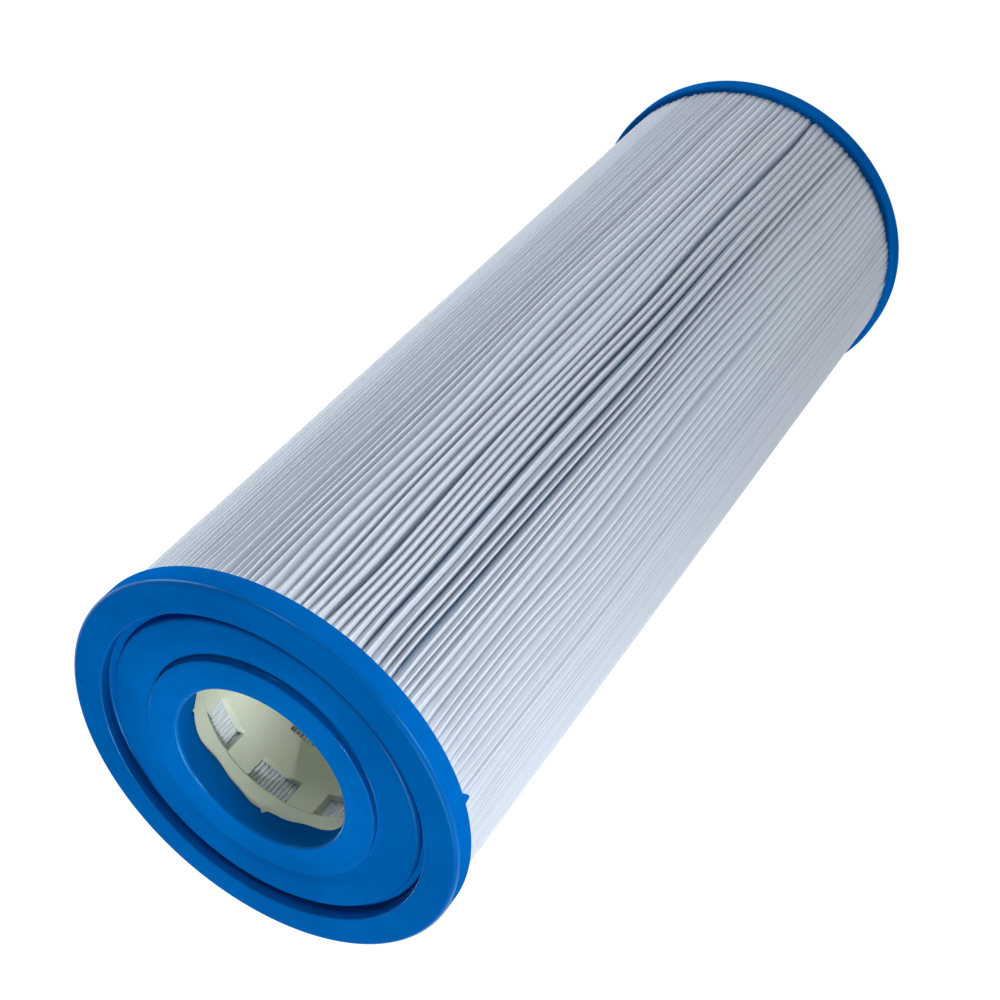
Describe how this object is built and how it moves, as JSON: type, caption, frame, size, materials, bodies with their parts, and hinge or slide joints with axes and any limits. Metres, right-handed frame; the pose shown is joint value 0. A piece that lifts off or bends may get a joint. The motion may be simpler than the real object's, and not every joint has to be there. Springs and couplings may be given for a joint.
{
  "type": "pleated filter cartridge",
  "caption": "Upright pool and spa filter cartridge: pleated white polyester around a perforated tube, potted in blue ring-grooved end caps with a centre opening.",
  "frame": {"origin": "centre of the bottom end cap's sealing face, where the cartridge stands", "axes": "+Z along the cartridge's axis from the bottom cap to the top cap; the media's seam faces +Y, so -Y is the side away from the seam"},
  "size_m": [0.1254, 0.1254, 0.338],
  "materials": {
    "cap_urethane": "satin moulded urethane, blue",
    "core_plastic": "moulded, cream white",
    "media_polyester": "point-bonded spun polyester, white",
    "seam_hot_melt": "hot-melt bead, pale amber"
  },
  "bodies": {
    "root": {"end_cap_top": "cap_urethane", "end_cap_bottom": "cap_urethane", "pleated_media": "media_polyester", "media_seam_bead": "seam_hot_melt", "core_module_1": "core_plastic", "core_module_2": "core_plastic", "core_module_3": "core_plastic", "core_module_4": "core_plastic", "core_module_5": "core_plastic"}
  },
  "joints": []
}
